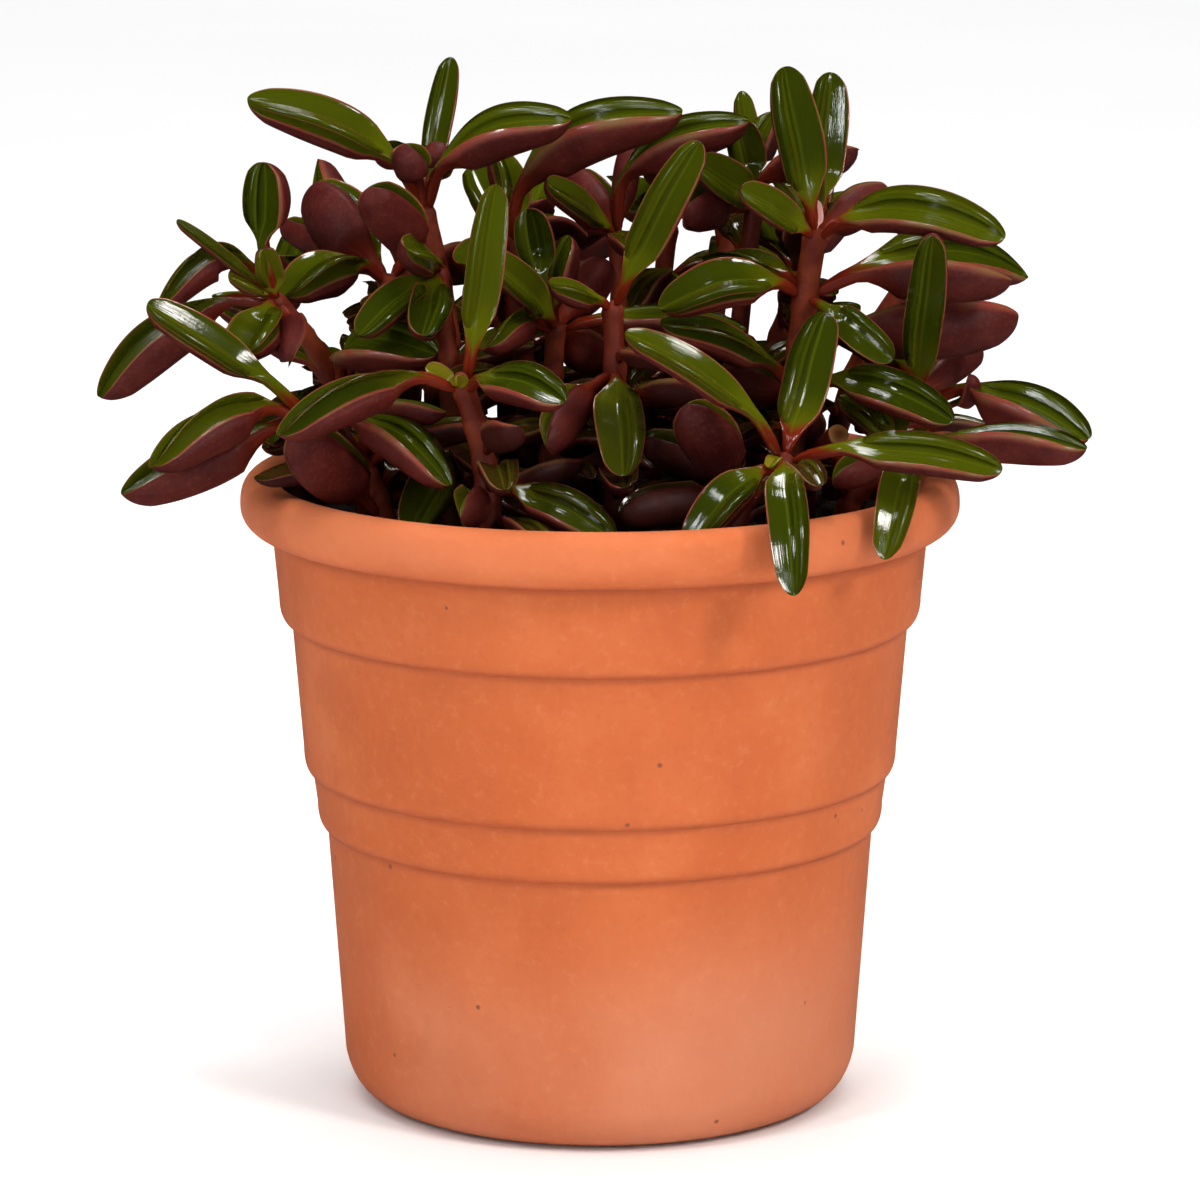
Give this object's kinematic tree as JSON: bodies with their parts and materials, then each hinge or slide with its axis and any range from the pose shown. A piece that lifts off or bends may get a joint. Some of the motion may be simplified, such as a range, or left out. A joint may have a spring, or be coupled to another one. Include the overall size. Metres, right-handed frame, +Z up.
{
  "type": "potted succulent plant",
  "caption": "Bushy succulent with boat-shaped green and wine-red leaves on red stems, in a stepped round terracotta pot.",
  "frame": {"origin": "middle of the flat underside of the pot", "axes": "+Z up along the pot's axis, -Y towards the front of the plant as pictured, +X to its right"},
  "size_m": [0.1767, 0.1534, 0.1896],
  "materials": {
    "terracotta": "unglazed matte",
    "soil": "moist potting mix",
    "leafy_green": "glossy",
    "leafy_olive": "glossy",
    "leafy_wine": "glossy"
  },
  "bodies": {
    "root": {"pot": "terracotta", "soil": "soil", "stem_left_low": "leafy_green", "stem_left_outer": "leafy_olive", "stem_left_back": "leafy_wine", "stem_left_middle": "leafy_green", "stem_left_tall": "leafy_olive", "stem_front_left": "leafy_wine", "stem_middle_left": "leafy_green", "stem_middle_tall": "leafy_olive", "stem_front_middle": "leafy_wine", "stem_middle_back": "leafy_green", "stem_front_right_low": "leafy_olive", "stem_front_right": "leafy_wine", "stem_right_tall": "leafy_green", "stem_right_back": "leafy_olive", "stem_right_outer": "leafy_wine", "stem_old_cut": "leafy_green", "stem_right_low": "leafy_olive", "stem_back_left_outer": "leafy_wine", "stem_back_left": "leafy_green", "stem_back_middle": "leafy_olive", "stem_back_right": "leafy_wine", "stem_back_right_wide": "leafy_green", "stem_back_right_outer": "leafy_olive", "stem_back_tall_left": "leafy_wine", "stem_back_tall_right": "leafy_green"}
  },
  "joints": []
}
